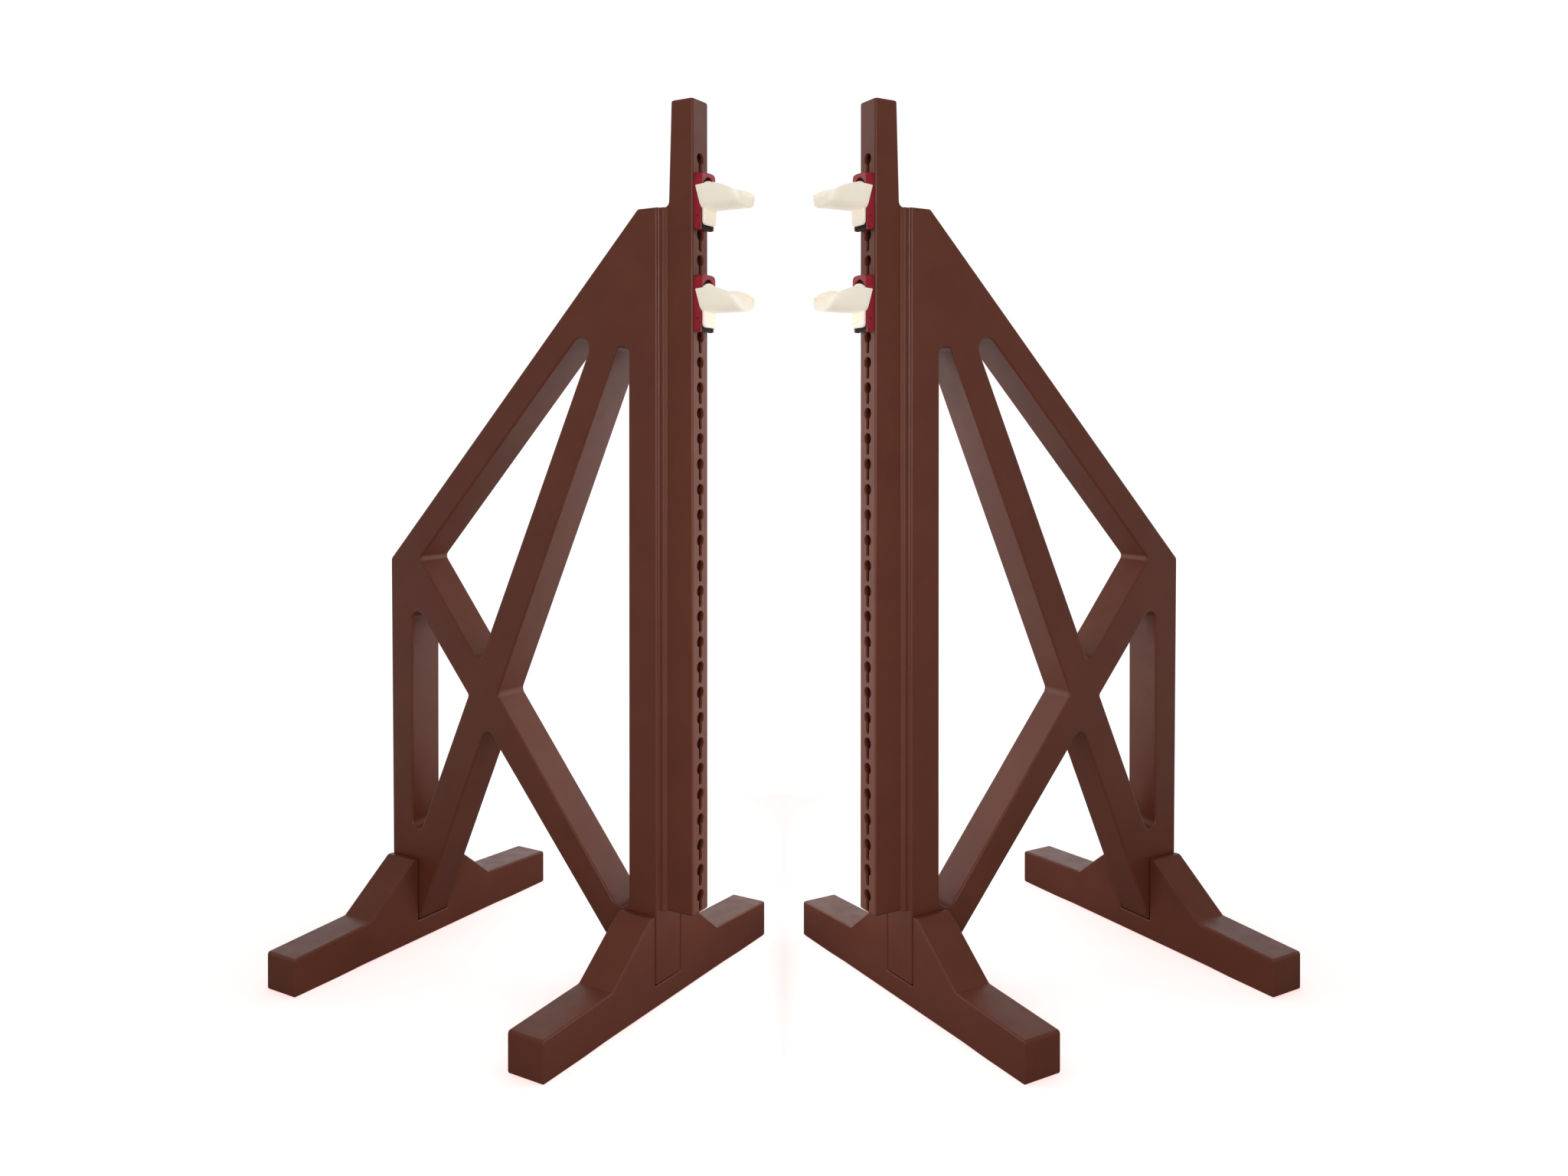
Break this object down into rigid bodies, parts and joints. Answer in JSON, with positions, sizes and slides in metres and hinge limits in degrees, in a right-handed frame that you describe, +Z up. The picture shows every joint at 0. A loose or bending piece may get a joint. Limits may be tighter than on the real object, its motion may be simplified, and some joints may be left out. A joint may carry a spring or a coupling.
{
  "type": "pair of show-jumping wing stands with pole cups",
  "caption": "Mirrored moulded wing stands: keyholed posts, braced panels, slotted cross feet, and lift-off red brackets holding hinged cream pole cups.",
  "frame": {"origin": "on the floor, at the centre of the footprint of both stands together", "axes": "+Z up; +X from the left stand to the right one, along the line through both posts; +Y away from the viewer, so each wing runs back and outwards from its post"},
  "size_m": [2.1106, 1.0126, 1.792],
  "materials": {
    "brown_plastic": "rotationally moulded brown polyethylene, satin with fine grain",
    "red_plastic": "injection moulded crimson plastic, semi-gloss",
    "cream_plastic": "injection moulded off-white plastic, slightly translucent",
    "steel": "plain turned steel studs and pins",
    "black_plastic": "matt black plastic"
  },
  "bodies": {
    "left_wing_body": {"left_wing": "brown_plastic"},
    "left_near_foot_body": {"left_near_foot": "brown_plastic"},
    "left_far_foot_body": {"left_far_foot": "brown_plastic"},
    "left_upper_bracket_body": {"left_upper_bracket": "red_plastic", "left_upper_low_stud": "steel", "left_upper_high_stud": "steel", "left_upper_hinge_pin": "steel", "left_upper_catch_pin": "steel", "left_upper_latch_block": "black_plastic"},
    "left_upper_cup_body": {"left_upper_cup": "cream_plastic", "left_upper_hinge_block": "black_plastic"},
    "left_lower_bracket_body": {"left_lower_bracket": "red_plastic", "left_lower_low_stud": "steel", "left_lower_high_stud": "steel", "left_lower_hinge_pin": "steel", "left_lower_catch_pin": "steel", "left_lower_latch_block": "black_plastic"},
    "left_lower_cup_body": {"left_lower_cup": "cream_plastic", "left_lower_hinge_block": "black_plastic"},
    "right_wing_body": {"right_wing": "brown_plastic"},
    "right_near_foot_body": {"right_near_foot": "brown_plastic"},
    "right_far_foot_body": {"right_far_foot": "brown_plastic"},
    "right_upper_bracket_body": {"right_upper_bracket": "red_plastic", "right_upper_low_stud": "steel", "right_upper_high_stud": "steel", "right_upper_hinge_pin": "steel", "right_upper_catch_pin": "steel", "right_upper_latch_block": "black_plastic"},
    "right_upper_cup_body": {"right_upper_cup": "cream_plastic", "right_upper_hinge_block": "black_plastic"},
    "right_lower_bracket_body": {"right_lower_bracket": "red_plastic", "right_lower_low_stud": "steel", "right_lower_high_stud": "steel", "right_lower_hinge_pin": "steel", "right_lower_catch_pin": "steel", "right_lower_latch_block": "black_plastic"},
    "right_lower_cup_body": {"right_lower_cup": "cream_plastic", "right_lower_hinge_block": "black_plastic"}
  },
  "joints": [
    {"name": "stand_spacing", "type": "slide", "parent": "left_wing_body", "child": "right_wing_body", "axis": [1, 0, 0], "range_m": [0, 3]},
    {"name": "left_near_foot_slide", "type": "slide", "parent": "left_wing_body", "child": "left_near_foot_body", "axis": [0, 0, -1], "range_m": [0, 0.2]},
    {"name": "left_far_foot_slide", "type": "slide", "parent": "left_wing_body", "child": "left_far_foot_body", "axis": [0, 0, -1], "range_m": [0, 0.2]},
    {"name": "left_upper_bracket_lift", "type": "slide", "parent": "left_wing_body", "child": "left_upper_bracket_body", "axis": [0, 0, 1], "range_m": [0, 0.0265]},
    {"name": "left_upper_cup_release", "type": "hinge", "parent": "left_upper_bracket_body", "child": "left_upper_cup_body", "pos_m": [-0.15361, -0.23183, 1.5398], "axis": [0.5045, 0.8634, 0], "range_deg": [0, 85]},
    {"name": "left_lower_bracket_lift", "type": "slide", "parent": "left_wing_body", "child": "left_lower_bracket_body", "axis": [0, 0, 1], "range_m": [0, 0.0265]},
    {"name": "left_lower_cup_release", "type": "hinge", "parent": "left_lower_bracket_body", "child": "left_lower_cup_body", "pos_m": [-0.15361, -0.23183, 1.3398], "axis": [0.5045, 0.8634, 0], "range_deg": [0, 85]},
    {"name": "right_near_foot_slide", "type": "slide", "parent": "right_wing_body", "child": "right_near_foot_body", "axis": [0, 0, -1], "range_m": [0, 0.2]},
    {"name": "right_far_foot_slide", "type": "slide", "parent": "right_wing_body", "child": "right_far_foot_body", "axis": [0, 0, -1], "range_m": [0, 0.2]},
    {"name": "right_upper_bracket_lift", "type": "slide", "parent": "right_wing_body", "child": "right_upper_bracket_body", "axis": [0, 0, 1], "range_m": [0, 0.0265]},
    {"name": "right_upper_cup_release", "type": "hinge", "parent": "right_upper_bracket_body", "child": "right_upper_cup_body", "pos_m": [0.15361, -0.23183, 1.5398], "axis": [0.5045, -0.8634, 0], "range_deg": [0, 85]},
    {"name": "right_lower_bracket_lift", "type": "slide", "parent": "right_wing_body", "child": "right_lower_bracket_body", "axis": [0, 0, 1], "range_m": [0, 0.0265]},
    {"name": "right_lower_cup_release", "type": "hinge", "parent": "right_lower_bracket_body", "child": "right_lower_cup_body", "pos_m": [0.15361, -0.23183, 1.3398], "axis": [0.5045, -0.8634, 0], "range_deg": [0, 85]}
  ]
}
